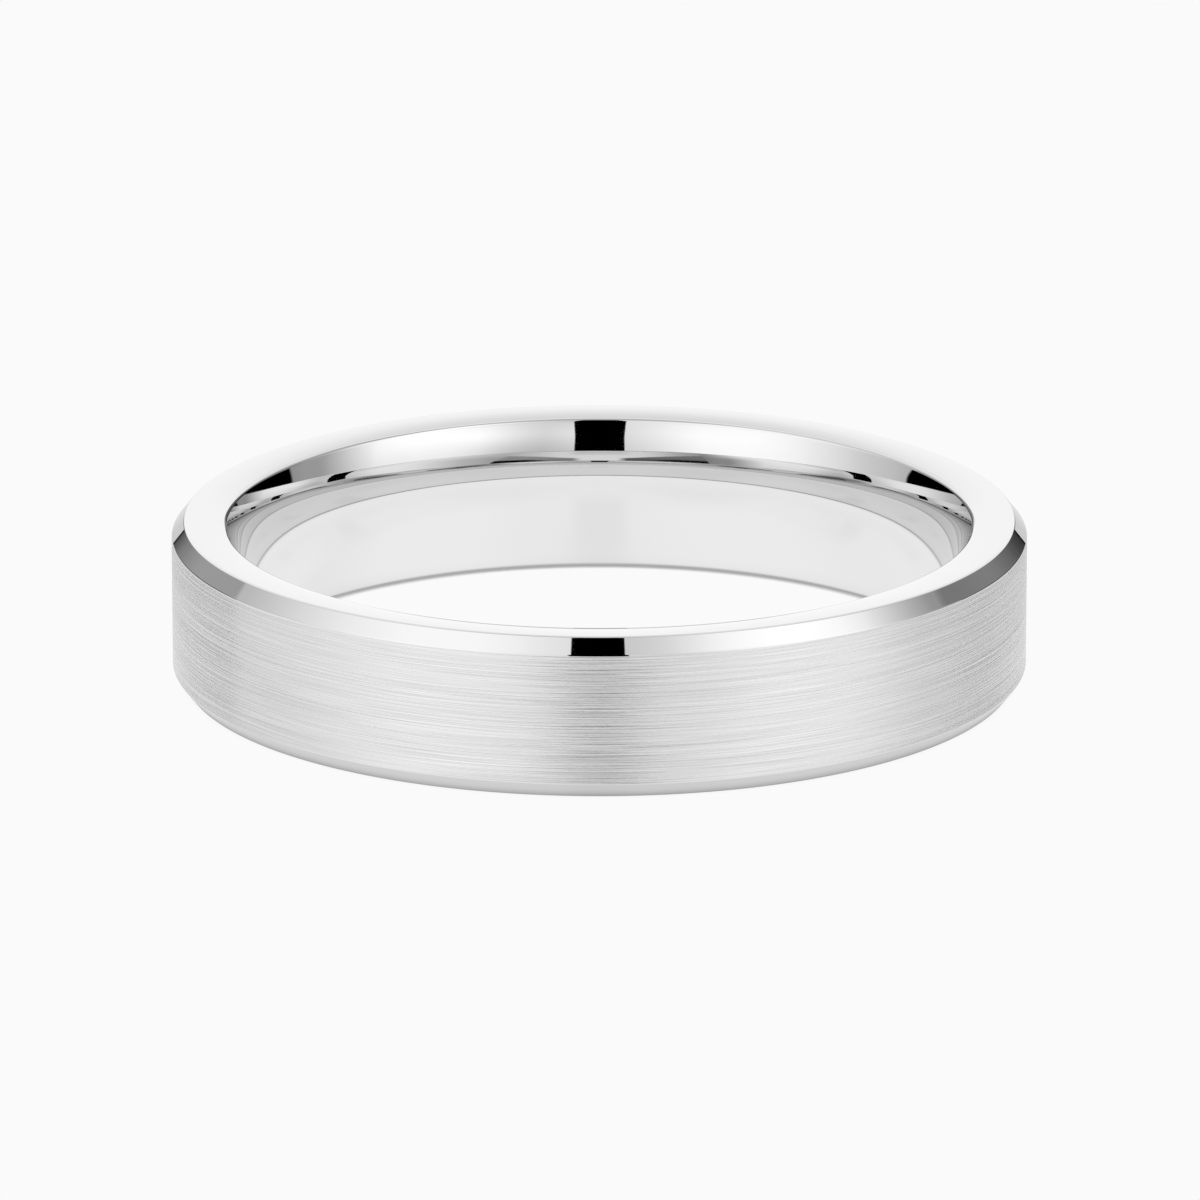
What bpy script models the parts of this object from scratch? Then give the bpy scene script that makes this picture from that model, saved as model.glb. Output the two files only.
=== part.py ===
"""A plain comfort-fit wedding band: flat outer face, bevelled edges, domed bore.

Metres, +Z up. The origin is the centre of the finger hole at half the band's width,
and +Z is the finger's axis, so the band lies flat on one of its two side faces.
The band is one seamless turned ring of metal, so it is one object.
"""

import math

import bpy

MM = 0.001

# Driving dimensions
BAND_WIDTH = 4.0 * MM
OUTER_DIAMETER = 21.1 * MM
BORE_DIAMETER = 17.80 * MM
BEVEL_DEPTH = 0.31 * MM
BEVEL_HEIGHT = 0.385 * MM
BORE_DOME_RADIUS = 7.2 * MM
DOME_HEIGHT = 1.17 * MM
SHOULDER_RADIUS = 3.1 * MM
RIM_RADIUS = 0.06 * MM

# Facets
TURN_STEPS = 96
DOME_SEGMENTS = 4
SHOULDER_SEGMENTS = 5
RIM_SEGMENTS = 2
SEAM_MERGE = 0.001 * MM
SHARP_ANGLE = math.radians(32)

METAL_COLOUR = (0.76, 0.76, 0.77, 1.0)
METAL_ROUGHNESS = 0.25


def arc(centre, radius, start, end, segments):
    """Points (radius from the axis, height) along an arc, from one angle to the other."""
    points = []
    for step in range(segments + 1):
        angle = start + (end - start) * step / segments
        points.append((centre[0] + radius * math.cos(angle), centre[1] + radius * math.sin(angle)))
    return points


def outer_side():
    """Top edge of the upper bevel, down the flat outer face, to the foot of the lower bevel."""
    face_radius = OUTER_DIAMETER / 2
    edge_radius = face_radius - BEVEL_DEPTH
    half_width = BAND_WIDTH / 2
    face_half_width = half_width - BEVEL_HEIGHT
    return [
        (edge_radius, half_width),
        (face_radius, face_half_width),
        (face_radius, -face_half_width),
        (edge_radius, -half_width),
    ]


def upper_inner_side():
    """From the middle of the bore up its domed wall and rounder shoulder, and over the rim.

    The dome, the shoulder and the rim's rounding share a tangent where they meet.
    """
    dome_centre = BORE_DIAMETER / 2 + BORE_DOME_RADIUS
    dome_tilt = math.asin(DOME_HEIGHT / BORE_DOME_RADIUS)
    reach = BORE_DOME_RADIUS - SHOULDER_RADIUS
    shoulder_centre = dome_centre - reach * math.cos(dome_tilt)
    shoulder_height = reach * math.sin(dome_tilt)
    rim_height = BAND_WIDTH / 2 - RIM_RADIUS
    reach = SHOULDER_RADIUS - RIM_RADIUS
    shoulder_tilt = math.asin((rim_height - shoulder_height) / reach)
    rim_centre = shoulder_centre - reach * math.cos(shoulder_tilt)
    straight_in = math.pi
    dome_end = straight_in - dome_tilt
    shoulder_end = straight_in - shoulder_tilt
    up = 0.5 * math.pi
    dome = arc((dome_centre, 0), BORE_DOME_RADIUS, straight_in, dome_end, DOME_SEGMENTS)
    shoulder = arc(
        (shoulder_centre, shoulder_height), SHOULDER_RADIUS, dome_end, shoulder_end, SHOULDER_SEGMENTS
    )
    rim = arc((rim_centre, rim_height), RIM_RADIUS, shoulder_end, up, RIM_SEGMENTS)
    return dome + shoulder[1:] + rim[1:]


def inner_side():
    """The wall of the bore from the lower rim to the upper one, which mirror each other."""
    upper = upper_inner_side()
    lower = [(radius, -height) for radius, height in reversed(upper[1:])]
    return lower + upper


def make_metal():
    metal = bpy.data.materials.new("white_metal")
    metal.use_nodes = True
    shader = metal.node_tree.nodes["Principled BSDF"]
    shader.inputs["Base Color"].default_value = METAL_COLOUR
    shader.inputs["Metallic"].default_value = 1.0
    shader.inputs["Roughness"].default_value = METAL_ROUGHNESS
    return metal


def turn(name, section, collection):
    """Turns a closed section round the Z axis, and shades it smooth between its sharp edges."""
    count = len(section)
    outline = bpy.data.meshes.new(name)
    outline.from_pydata(
        [(radius, 0, height) for radius, height in section],
        [(index, (index + 1) % count) for index in range(count)],
        [],
    )
    turned = bpy.data.objects.new(name, outline)
    collection.objects.link(turned)
    screw = turned.modifiers.new("Turn", "SCREW")
    screw.axis = "Z"
    screw.angle = 2 * math.pi
    screw.steps = TURN_STEPS
    screw.render_steps = TURN_STEPS
    screw.use_merge_vertices = True
    screw.merge_threshold = SEAM_MERGE
    evaluated = turned.evaluated_get(bpy.context.evaluated_depsgraph_get())
    mesh = bpy.data.meshes.new_from_object(evaluated)
    turned.modifiers.clear()
    turned.data = mesh
    bpy.data.meshes.remove(outline)
    mesh.name = name
    mesh.shade_smooth()
    mesh.set_sharp_from_angle(angle=SHARP_ANGLE)
    return turned


def make_band(collection):
    band = turn("band", outer_side() + inner_side(), collection)
    band.data.materials.append(make_metal())
    return band


def clear_scene():
    for old in list(bpy.data.objects):
        bpy.data.objects.remove(old, do_unlink=True)


def main():
    clear_scene()
    collection = bpy.data.collections.new("wedding_band")
    bpy.context.scene.collection.children.link(collection)
    make_band(collection)


main()
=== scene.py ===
"""The looks of a comfort-fit wedding band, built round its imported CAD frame.

Metres, in the CAD frame: +Z is the finger's axis and the band lies on its lower side face.
"""

import math

import bpy
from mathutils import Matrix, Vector


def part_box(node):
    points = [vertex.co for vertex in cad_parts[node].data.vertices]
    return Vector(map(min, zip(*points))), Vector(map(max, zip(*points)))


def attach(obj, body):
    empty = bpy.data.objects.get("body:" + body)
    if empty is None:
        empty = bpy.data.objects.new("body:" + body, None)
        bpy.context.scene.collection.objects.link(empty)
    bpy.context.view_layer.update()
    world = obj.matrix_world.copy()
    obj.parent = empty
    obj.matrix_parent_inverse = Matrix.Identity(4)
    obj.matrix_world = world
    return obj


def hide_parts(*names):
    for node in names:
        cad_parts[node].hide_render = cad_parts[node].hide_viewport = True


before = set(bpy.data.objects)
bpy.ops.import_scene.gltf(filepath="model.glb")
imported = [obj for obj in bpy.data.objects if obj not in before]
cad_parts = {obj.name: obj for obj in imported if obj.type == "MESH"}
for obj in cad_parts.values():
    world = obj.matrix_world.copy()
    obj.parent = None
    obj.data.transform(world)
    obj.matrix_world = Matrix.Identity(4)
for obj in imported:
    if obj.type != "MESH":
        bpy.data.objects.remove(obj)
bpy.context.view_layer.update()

MM = 0.001

# The band. Its outer radius and its width come from the frame.
BAND_LOW, BAND_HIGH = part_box("band")
OUTER_RADIUS = BAND_HIGH.x
HALF_WIDTH = BAND_HIGH.z
BORE_RADIUS = 8.90 * MM
BEVEL_DEPTH = 0.31 * MM
BEVEL_HEIGHT = 0.385 * MM
BORE_DOME_RADIUS = 7.2 * MM
DOME_HEIGHT = 1.17 * MM
SHOULDER_RADIUS = 3.1 * MM
RIM_RADIUS = 0.15 * MM
CROWN_RADIUS = 5.2 * MM
CROWN_TILT = math.radians(9.0)
SOFT_EDGE_RADIUS = 0.5 * MM
SOFT_EDGE_TILT = math.radians(9.0)
BEVEL_EDGE_RADIUS = 0.05 * MM
FACE_EDGE_RADIUS = 0.07 * MM

TURN_STEPS = 480
EDGE_SEGMENTS = 5
RIM_SEGMENTS = 12
DOME_SEGMENTS = 14
SHOULDER_SEGMENTS = 10
CROWN_SEGMENTS = 10

BRUSHED, POLISHED = 0, 1
METAL_COLOUR = 0.76
TONE_SPREAD = 0.17
BRUSH_LINES = {"length": 14.0 * MM, "thickness": 0.024 * MM, "seed": 3.0}
BRUSH_TONES = {"length": 3.0 * MM, "thickness": 0.024 * MM, "seed": 17.0}
BRUSH_DEPTH = 0.019 * MM
BRUSHED_ROUGHNESS = (0.24, 0.30)
POLISH_HAZE = {"length": 1.5 * MM, "thickness": 0.4 * MM, "seed": 5.0}
POLISHED_ROUGHNESS = (0.01, 0.035)
QUARTER_TURN = 0.25

# The studio, in degrees and radiance. Azimuth is 0 behind the band and 180 at the camera.
LEFT_BOX = {
    "low": ((62, 0.55), (74, 0.64), (93, 0.84), (112, 1.13), (132, 1.30), (151, 1.26), (172, 0.95)),
    "high": ((58, 0.70), (86, 1.00), (105, 1.18), (122, 1.22), (138, 1.19), (152, 1.09), (172, 0.95)),
    "near_floor": ((74, 1.0), (140, 0.95), (160, 0.88), (172, 0.88)),
}
RIGHT_BOX = {
    "low": (
        (62, 0.32), (74, 0.39), (86, 0.52), (103, 1.12),
        (112, 1.30), (141, 1.34), (160, 0.93), (172, 1.00),
    ),
    "high": (
        (62, 0.40), (70, 0.47), (86, 0.98), (95, 1.23),
        (115, 1.32), (138, 1.12), (151, 0.91), (172, 0.74),
    ),
    "near_floor": ((74, 1.0), (90, 0.90), (112, 0.84), (132, 0.80), (148, 0.64), (172, 0.75)),
}
BACK_GLOW = ((-1.2, 0.50), (1.0, 0.62), (3.0, 1.12), (12, 1.12))
BACK_FALLOFF = ((0, 1.0), (17, 1.0), (24, 0.92), (31, 0.80), (38, 0.76), (50, 0.90), (90, 1.0))
GAP_TOP = ((22, -2.0), (26, 0.5), (30, 3.2), (35, 6.2), (40, 8.2), (46, 9.8), (66, 10.5))
LEFT_PANEL = {
    "level": ((0, 1.12), (20, 1.08), (30, 1.00), (40, 0.88), (50, 0.78), (60, 0.70)),
    "edge": ((0, 11.0), (25, 14.5), (45, 21.0), (60, 27.0)),
    "shade": ((0, 0.10), (2.5, 0.15), (5, 0.24), (8, 0.30), (13.5, 0.40), (24, 0.41)),
    "border": 58.5,
}
RIGHT_PANEL = {
    "level": ((0, 1.12), (20, 1.08), (30, 1.00), (40, 0.85), (50, 0.66), (66, 0.47)),
    "edge": ((0, 11.0), (25, 14.5), (45, 21.0), (66, 30.0)),
    "shade": ((0, 0.045), (2.5, 0.06), (5, 0.09), (8, 0.14), (13.5, 0.22), (18, 0.26), (26, 0.235)),
    "border": 66.0,
}
LOW_BORDER = 69.0
ZENITH_LEVEL = 0.55
SLOT_HALF_WIDTH = ((0, 7.9), (20, 8.0), (45, 9.6), (60, 10.7), (90, 10.7))
SLOT_LEAN = -0.009

# Where one part of the studio fades into the next, as (start, end) in degrees.
NEAR_FLOOR_FADE = (0.0, 22.0)
BOX_FADE = (15.0, 40.0)
GAP_FADE = (-0.3, 1.5)
GLOW_FADE = (10.0, 18.0)
FALLOFF_FADE = (12.0, 24.0)
PANEL_FADE = (-0.8, 0.8)
BORDER_FADE = (4.0, 24.0)
ZENITH_FADE = (60.0, 80.0)
SLOT_FADE = (-0.15, 0.15)
SLOT_TOP_FADE = (72.0, 74.0)
HORIZON_FADE = (-1.5, -0.9)

# The table and the backdrop. The table glows, so its levels are radiances painted by place, and its
# shadows are painted shares of that light.
BACKDROP_LEVEL = 0.956
FLOOR_SIZE = 3.0
FLOOR_SHIFT = 0.3
FLOOR_GAP = 0.004 * MM
# Painted light, as the table's glow seen in reflections: brightest in the hole, darker under the bevel as
# painted shade, dimmer far behind the band.
HOLE_FLOOR_LEVEL = 0.98
UNDER_BEVEL_SHADE_LEVEL = 0.73
FRONT_FLOOR_LEVEL = 0.91
FAR_FLOOR_LEVEL = 0.68
UNDER_BEVEL_END = 1.1 * OUTER_RADIUS
FLOOR_DIMMED_FROM = -3.0 * MM
FLOOR_DIMMED_AT = 20.0 * MM
FLOOR_GLOSS = 0.09
FLOOR_ROUGHNESS = 0.2
# Painted shadow: ambient occlusion darkens the table's glow round the band's foot, faintly for the camera
# and deeply in the hole.
HOLE_SHADOW = 0.45
FRONT_SHADOW = 0.9
SEEN_SHADOW = 0.06
SEEN_HOLE_SHADOW = 1.2
HOLE_SHADOW_POWER = 1.5
FRONT_SHADOW_POWER = 3.0
SHADOW_REACH = 0.17 * MM
SHADOW_SAMPLES = 8
MOST_BOUNCES = 24
SURE_BOUNCES = 8

# The camera: a long lens, nearly square on.
VIEW_ELEVATION = math.radians(16.567)
VIEW_DISTANCE = 316.6 * MM
VIEW_TARGET = Vector((0.016, 0.0, -0.127)) * MM
LENS = 384.3
SENSOR = 36.0


# ---------------------------------------------------------------- the band's section

def turned_point(centre, radius, angle):
    """A point of an arc, as (distance from the axis, height, direction that it faces)."""
    return (centre[0] + radius * math.cos(angle), centre[1] + radius * math.sin(angle), angle)


def arc(centre, radius, start, end, segments):
    step = (end - start) / segments
    return [turned_point(centre, radius, start + step * index) for index in range(segments + 1)]


def rounded_corner(corner, facing_before, facing_after, radius):
    """A convex corner between two flats, which face these two ways, rounded to this radius."""
    middle = (facing_before + facing_after) / 2
    reach = radius / math.cos((facing_before - facing_after) / 2)
    centre = (corner[0] - reach * math.cos(middle), corner[1] - reach * math.sin(middle))
    return arc(centre, radius, facing_before, facing_after, EDGE_SEGMENTS)


def outer_side():
    """From the upper side face's outer edge, down the outer face, to the lower side face.

    The side face turns down gently at first, and then sharply into the bevel.
    """
    up = math.pi / 2
    slope = math.atan2(BEVEL_DEPTH, BEVEL_HEIGHT)
    reach = SOFT_EDGE_RADIUS - BEVEL_EDGE_RADIUS
    height = HALF_WIDTH - SOFT_EDGE_RADIUS + reach * math.cos(SOFT_EDGE_TILT)
    below_corner = (HALF_WIDTH - height) * math.sin(slope) - BEVEL_EDGE_RADIUS
    radius = OUTER_RADIUS - BEVEL_DEPTH + below_corner / math.cos(slope)
    soft_centre = (radius - reach * math.sin(SOFT_EDGE_TILT), HALF_WIDTH - SOFT_EDGE_RADIUS)
    tilted = up - SOFT_EDGE_TILT
    upper = arc(soft_centre, SOFT_EDGE_RADIUS, up, tilted, EDGE_SEGMENTS)
    upper += arc((radius, height), BEVEL_EDGE_RADIUS, tilted, slope, EDGE_SEGMENTS)[1:]
    upper += rounded_corner((OUTER_RADIUS, HALF_WIDTH - BEVEL_HEIGHT), slope, 0.0, FACE_EDGE_RADIUS)
    lower = [(radius, -height, -facing) for radius, height, facing in reversed(upper)]
    return upper, lower


def upper_inner_side():
    """From the middle of the bore up the domed wall and its rounder shoulder to the upper rim."""
    dome_centre = BORE_RADIUS + BORE_DOME_RADIUS
    dome_end = math.asin(DOME_HEIGHT / BORE_DOME_RADIUS)
    reach = BORE_DOME_RADIUS - SHOULDER_RADIUS
    shoulder = (dome_centre - reach * math.cos(dome_end), reach * math.sin(dome_end))
    crown_reach = CROWN_RADIUS - RIM_RADIUS
    crown_height = HALF_WIDTH - CROWN_RADIUS
    rim_height = crown_height + crown_reach * math.cos(CROWN_TILT)
    reach = SHOULDER_RADIUS - RIM_RADIUS
    shoulder_end = math.asin((rim_height - shoulder[1]) / reach)
    rim = (shoulder[0] - reach * math.cos(shoulder_end), rim_height)
    crown = (rim[0] + crown_reach * math.sin(CROWN_TILT), crown_height)
    low, middle, high = (math.pi - tilt for tilt in (0.0, dome_end, shoulder_end))
    flat, rim_end = 0.5 * math.pi, 0.5 * math.pi + CROWN_TILT
    wall = arc((dome_centre, 0.0), BORE_DOME_RADIUS, low, middle, DOME_SEGMENTS)
    wall += arc(shoulder, SHOULDER_RADIUS, middle, high, SHOULDER_SEGMENTS)[1:]
    wall += arc(rim, RIM_RADIUS, high, rim_end, RIM_SEGMENTS)[1:]
    return wall + arc(crown, CROWN_RADIUS, rim_end, flat, CROWN_SEGMENTS)[1:]


def inner_side():
    """The wall of the bore from the lower rim to the upper one, which mirror each other."""
    upper = upper_inner_side()
    lower = [(radius, -height, 2 * math.pi - facing) for radius, height, facing in upper[:0:-1]]
    return lower + upper


def turn_band():
    """The band as one closed mesh, whose normals are the true ones of its section."""
    upper, lower = outer_side()
    section = upper + lower + inner_side()
    face_start = len(upper) - 1
    count = len(section)
    vertices, normals, faces, slots = [], [], [], []
    for step in range(TURN_STEPS):
        turn = 2 * math.pi * step / TURN_STEPS
        across, along = math.cos(turn), math.sin(turn)
        for radius, height, facing in section:
            vertices.append((radius * across, radius * along, height))
            out = math.cos(facing)
            normals.append((out * across, out * along, math.sin(facing)))
    for step in range(TURN_STEPS):
        here, there = step * count, (step + 1) % TURN_STEPS * count
        for index in range(count):
            after = (index + 1) % count
            faces.append((here + after, there + after, there + index, here + index))
            slots.append(BRUSHED if index == face_start else POLISHED)
    mesh = bpy.data.meshes.new("band_surface")
    mesh.from_pydata(vertices, [], faces)
    mesh.materials.append(brushed_metal())
    mesh.materials.append(polished_metal())
    mesh.polygons.foreach_set("material_index", slots)
    mesh.shade_smooth()
    mesh.normals_split_custom_set_from_vertices(normals)
    band = bpy.data.objects.new("band_surface", mesh)
    bpy.context.scene.collection.objects.link(band)
    return band


# ---------------------------------------------------------------- node helpers

class Graph:
    """Adds nodes to a node tree, and joins a socket or a plain number to each input."""

    def __init__(self, tree):
        self.tree = tree

    def node(self, kind, **settings):
        node = self.tree.nodes.new(kind)
        for name, value in settings.items():
            setattr(node, name, value)
        return node

    def put(self, socket, value):
        if isinstance(value, bpy.types.NodeSocket):
            self.tree.links.new(value, socket)
        else:
            socket.default_value = value

    def math(self, operation, *values):
        node = self.node("ShaderNodeMath", operation=operation)
        for socket, value in zip(node.inputs, values):
            self.put(socket, value)
        return node.outputs[0]

    def step(self, value, start, end):
        """0 up to start and 1 from end on, with a smooth rise between."""
        node = self.node("ShaderNodeMapRange", interpolation_type="SMOOTHSTEP")
        for socket, number in zip(node.inputs, (value, start, end)):
            self.put(socket, number)
        return node.outputs[0]

    def mix(self, share, first, second):
        """first where share is 0, second where share is 1."""
        node = self.node("ShaderNodeMix")
        for name, value in (("Factor", share), ("A", first), ("B", second)):
            self.put(node.inputs[name], value)
        return node.outputs[0]

    def profile(self, degrees, *stops):
        """A smooth curve through these (degrees, level) stops, level beyond both ends."""
        start, end = stops[0][0], stops[-1][0]
        peak = max(level for _, level in stops)
        place = self.node("ShaderNodeMapRange")
        for socket, number in zip(place.inputs, (degrees, start, end)):
            self.put(socket, number)
        ramp = self.node("ShaderNodeValToRGB")
        ramp.color_ramp.interpolation = "CARDINAL"
        elements = ramp.color_ramp.elements
        while len(elements) < len(stops):
            elements.new(1.0)
        for element, (angle, level) in zip(elements, stops):
            element.position = (angle - start) / (end - start)
            element.color = (level / peak, level / peak, level / peak, 1.0)
        self.tree.links.new(place.outputs[0], ramp.inputs[0])
        return self.math("MULTIPLY", ramp.outputs["Color"], peak)


# ---------------------------------------------------------------- materials

def new_material(name):
    material = bpy.data.materials.new(name)
    material.use_nodes = True
    graph = Graph(material.node_tree)
    shader = material.node_tree.nodes["Principled BSDF"]
    shader.inputs["Base Color"].default_value = (METAL_COLOUR, METAL_COLOUR, METAL_COLOUR, 1.0)
    shader.inputs["Metallic"].default_value = 1.0
    return material, graph, shader


def brush_lines(graph, length, thickness, seed):
    """Noise drawn out round the band into lines of about this length and thickness."""
    place = graph.node("ShaderNodeTexCoord")
    stretch = graph.node("ShaderNodeMapping")
    stretch.inputs["Location"].default_value = (seed, seed, seed)
    stretch.inputs["Scale"].default_value = (1 / length, 1 / length, 1 / thickness)
    noise = graph.node("ShaderNodeTexNoise")
    noise.inputs["Scale"].default_value = 1.0
    noise.inputs["Detail"].default_value = 1.0
    graph.tree.links.new(place.outputs["Object"], stretch.inputs["Vector"])
    graph.tree.links.new(stretch.outputs["Vector"], noise.inputs["Vector"])
    return noise.outputs["Fac"]


def brushed_metal():
    material, graph, shader = new_material("brushed_white_metal")
    lines = brush_lines(graph, **BRUSH_LINES)
    graph.put(shader.inputs["Roughness"], graph.mix(lines, *BRUSHED_ROUGHNESS))
    tone = brush_lines(graph, **BRUSH_TONES)
    colour = graph.node("ShaderNodeCombineColor")
    streaked = graph.mix(tone, METAL_COLOUR - TONE_SPREAD, METAL_COLOUR + TONE_SPREAD)
    for channel in colour.inputs:
        graph.put(channel, streaked)
    graph.tree.links.new(colour.outputs[0], shader.inputs["Base Color"])
    shader.inputs["Anisotropic"].default_value = 1.0
    shader.inputs["Anisotropic Rotation"].default_value = QUARTER_TURN
    tangent = graph.node("ShaderNodeTangent", direction_type="RADIAL", axis="Z")
    graph.tree.links.new(tangent.outputs[0], shader.inputs["Tangent"])
    bump = graph.node("ShaderNodeBump")
    bump.inputs["Strength"].default_value = 1.0
    bump.inputs["Distance"].default_value = BRUSH_DEPTH
    graph.put(bump.inputs["Height"], lines)
    graph.tree.links.new(bump.outputs[0], shader.inputs["Normal"])
    return material


def polished_metal():
    material, graph, shader = new_material("polished_white_metal")
    haze = brush_lines(graph, **POLISH_HAZE)
    graph.put(shader.inputs["Roughness"], graph.mix(haze, *POLISHED_ROUGHNESS))
    return material


# ---------------------------------------------------------------- stage, light and camera

def make_camera():
    data = bpy.data.cameras.new("camera")
    data.lens = LENS
    data.sensor_width = SENSOR
    data.clip_start = VIEW_DISTANCE / 10
    data.clip_end = VIEW_DISTANCE * 100
    camera = bpy.data.objects.new("camera", data)
    bpy.context.scene.collection.objects.link(camera)
    back = Vector((0.0, -math.cos(VIEW_ELEVATION), math.sin(VIEW_ELEVATION)))
    camera.location = VIEW_TARGET + back * VIEW_DISTANCE
    camera.rotation_mode = "QUATERNION"
    camera.rotation_quaternion = (-back).to_track_quat("-Z", "Y")
    bpy.context.scene.camera = camera


def side_light(graph, azimuth, elevation, box, panel):
    """The radiance from one side of the studio, azimuth being 0 behind the band and 180 at the camera.

    A softbox lights the front. Behind it hangs a panel, with a shaded wall and a black gap under it.
    """
    low = graph.profile(azimuth, *box["low"])
    dimmed = graph.profile(azimuth, *box["near_floor"])
    low = graph.math("MULTIPLY", low, graph.mix(graph.step(elevation, *NEAR_FLOOR_FADE), dimmed, 1.0))
    high = graph.profile(azimuth, *box["high"])
    softbox = graph.mix(graph.step(elevation, *BOX_FADE), low, high)
    shade = graph.profile(elevation, *panel["shade"])
    over_gap = graph.math("SUBTRACT", elevation, graph.profile(azimuth, *GAP_TOP))
    shade = graph.math("MULTIPLY", shade, graph.step(over_gap, *GAP_FADE))
    glow = graph.profile(elevation, *BACK_GLOW)
    below = graph.mix(graph.step(azimuth, *GLOW_FADE), glow, shade)
    above = graph.profile(azimuth, *panel["level"])
    falloff = graph.profile(elevation, *BACK_FALLOFF)
    above = graph.math("MULTIPLY", above, graph.mix(graph.step(azimuth, *FALLOFF_FADE), falloff, 1.0))
    edge = graph.profile(azimuth, *panel["edge"])
    height = graph.math("SUBTRACT", elevation, edge)
    back = graph.mix(graph.step(height, *PANEL_FADE), below, above)
    border = graph.mix(graph.step(elevation, *BORDER_FADE), LOW_BORDER, panel["border"])
    beyond = graph.math("SUBTRACT", azimuth, border)
    return graph.mix(graph.step(beyond, *PANEL_FADE), back, softbox)


def make_world():
    """A studio of soft panels, as radiance by direction, with a dark slot where the camera stands.

    The camera itself sees the plain backdrop.
    """
    world = bpy.data.worlds.new("studio")
    world.use_nodes = True
    graph = Graph(world.node_tree)
    background = world.node_tree.nodes["Background"]
    place = graph.node("ShaderNodeTexCoord")
    split = graph.node("ShaderNodeSeparateXYZ")
    graph.tree.links.new(place.outputs["Generated"], split.inputs[0])
    x, y, z = split.outputs
    turn = graph.math("DEGREES", graph.math("ARCTAN2", x, y))
    azimuth = graph.math("ABSOLUTE", turn)
    elevation = graph.math("DEGREES", graph.math("ARCSINE", z))
    left = side_light(graph, azimuth, elevation, LEFT_BOX, LEFT_PANEL)
    right = side_light(graph, azimuth, elevation, RIGHT_BOX, RIGHT_PANEL)
    light = graph.mix(graph.math("GREATER_THAN", turn, 0.0), left, right)
    light = graph.mix(graph.step(elevation, *ZENITH_FADE), light, ZENITH_LEVEL)
    lean = graph.math("MULTIPLY", elevation, SLOT_LEAN)
    from_back = graph.math("PINGPONG", graph.math("ADD", turn, lean), 180.0)
    half_width = graph.profile(elevation, *SLOT_HALF_WIDTH)
    inside = graph.math("SUBTRACT", graph.math("ADD", from_back, half_width), 180.0)
    in_slot = graph.step(inside, *SLOT_FADE)
    over_slot = graph.step(elevation, *SLOT_TOP_FADE)
    light = graph.mix(graph.mix(over_slot, in_slot, 0.0), light, 0.0)
    light = graph.mix(graph.step(elevation, *HORIZON_FADE), FAR_FLOOR_LEVEL, light)
    path = graph.node("ShaderNodeLightPath")
    shown = graph.mix(path.outputs["Is Camera Ray"], light, BACKDROP_LEVEL)
    graph.tree.links.new(shown, background.inputs["Color"])
    bpy.context.scene.world = world


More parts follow.
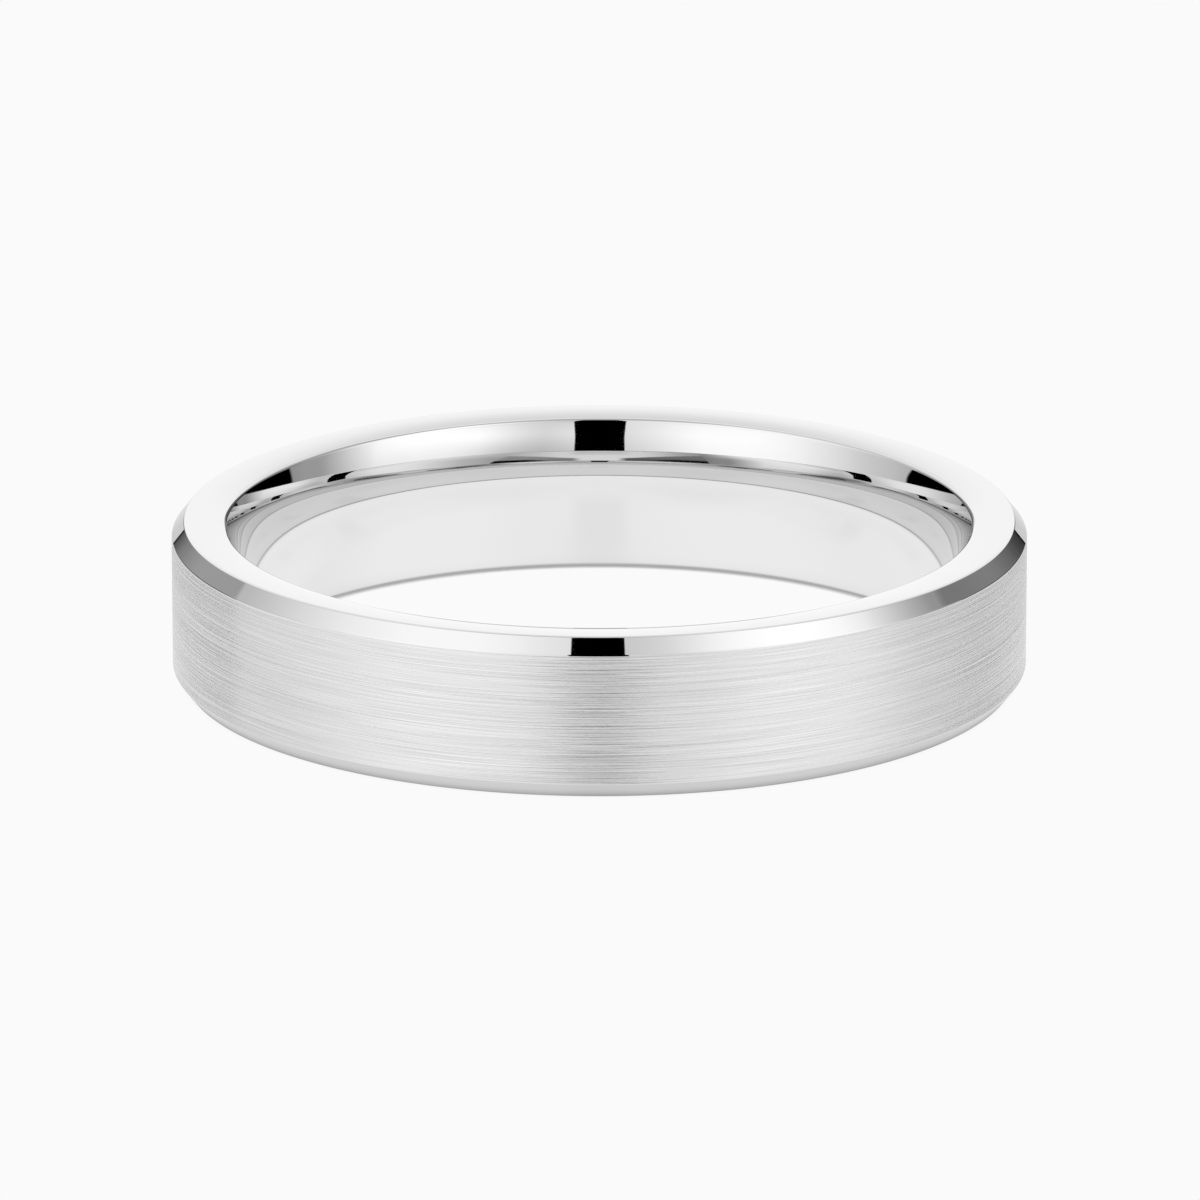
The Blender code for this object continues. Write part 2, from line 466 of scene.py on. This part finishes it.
def make_floor():
    """The pale table, a glowing sheet: the camera sees the even backdrop with a painted trace of the
    band's shadow.

    It is set off to one side, so that the seam between its two triangles misses the band.
    """
    mesh = bpy.data.meshes.new("floor")
    side, height = FLOOR_SIZE / 2, BAND_LOW.z - FLOOR_GAP
    left, right = FLOOR_SHIFT - side, FLOOR_SHIFT + side
    corners = [(left, -side, height), (right, -side, height), (right, side, height), (left, side, height)]
    mesh.from_pydata(corners, [], [(0, 1, 2, 3)])
    floor = bpy.data.objects.new("floor", mesh)
    bpy.context.scene.collection.objects.link(floor)
    material = bpy.data.materials.new("pale_table_painted_shade")
    material.use_nodes = True
    graph = Graph(material.node_tree)
    output = material.node_tree.nodes["Material Output"]
    material.node_tree.nodes.remove(material.node_tree.nodes["Principled BSDF"])
    glow = graph.node("ShaderNodeEmission")
    openness = graph.node("ShaderNodeAmbientOcclusion", samples=SHADOW_SAMPLES)
    openness.inputs["Distance"].default_value = SHADOW_REACH
    path = graph.node("ShaderNodeLightPath")
    seen = path.outputs["Is Camera Ray"]
    place = graph.node("ShaderNodeTexCoord")
    split = graph.node("ShaderNodeSeparateXYZ")
    graph.tree.links.new(place.outputs["Object"], split.inputs[0])
    # Painted light: the glow seen in reflections is brighter in the hole, darker under the bevel as
    # painted shade, and dimmer far behind the band.
    behind = graph.step(split.outputs["Y"], FLOOR_DIMMED_FROM, FLOOR_DIMMED_AT)
    around = graph.mix(behind, FRONT_FLOOR_LEVEL, FAR_FLOOR_LEVEL)
    radius = graph.node("ShaderNodeVectorMath", operation="LENGTH")
    graph.tree.links.new(place.outputs["Object"], radius.inputs[0])
    outside = graph.step(radius.outputs["Value"], BORE_RADIUS, OUTER_RADIUS)
    beyond = graph.step(radius.outputs["Value"], OUTER_RADIUS, UNDER_BEVEL_END)
    around = graph.mix(beyond, UNDER_BEVEL_SHADE_LEVEL, around)
    painted_floor_light = graph.mix(outside, HOLE_FLOOR_LEVEL, around)
    level = graph.mix(seen, painted_floor_light, BACKDROP_LEVEL)
    # Painted shadow: ambient occlusion takes a share off the glow near the band, faintly for the camera
    # and deeply in the hole.
    seen_depth = graph.mix(outside, SEEN_HOLE_SHADOW, SEEN_SHADOW)
    reflected_depth = graph.mix(outside, HOLE_SHADOW, FRONT_SHADOW)
    depth = graph.mix(seen, reflected_depth, seen_depth)
    covered = graph.math("SUBTRACT", 1.0, openness.outputs["AO"])
    covered = graph.math("POWER", covered, graph.mix(outside, HOLE_SHADOW_POWER, FRONT_SHADOW_POWER))
    lit = graph.math("SUBTRACT", 1.0, graph.math("MULTIPLY", covered, depth))
    graph.put(glow.inputs["Color"], graph.math("MULTIPLY", level, lit))
    gloss = graph.node("ShaderNodeBsdfGlossy")
    gloss.inputs["Roughness"].default_value = FLOOR_ROUGHNESS
    shine = graph.mix(seen, FLOOR_GLOSS, 0.0)
    graph.put(gloss.inputs["Color"], shine)
    both = graph.node("ShaderNodeAddShader")
    graph.tree.links.new(glow.outputs[0], both.inputs[0])
    graph.tree.links.new(gloss.outputs[0], both.inputs[1])
    graph.tree.links.new(both.outputs[0], output.inputs["Surface"])
    mesh.materials.append(material)


def set_light_paths():
    """Light bounces many times between the walls of a polished band, so no path is cut short."""
    scene = bpy.context.scene
    scene.view_settings.view_transform = "Standard"
    scene.cycles.max_bounces = MOST_BOUNCES
    scene.cycles.glossy_bounces = MOST_BOUNCES
    scene.cycles.min_light_bounces = SURE_BOUNCES


band = turn_band()
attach(band, "root")
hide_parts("band")
make_camera()
make_world()
make_floor()
set_light_paths()

bpy.context.view_layer.update()
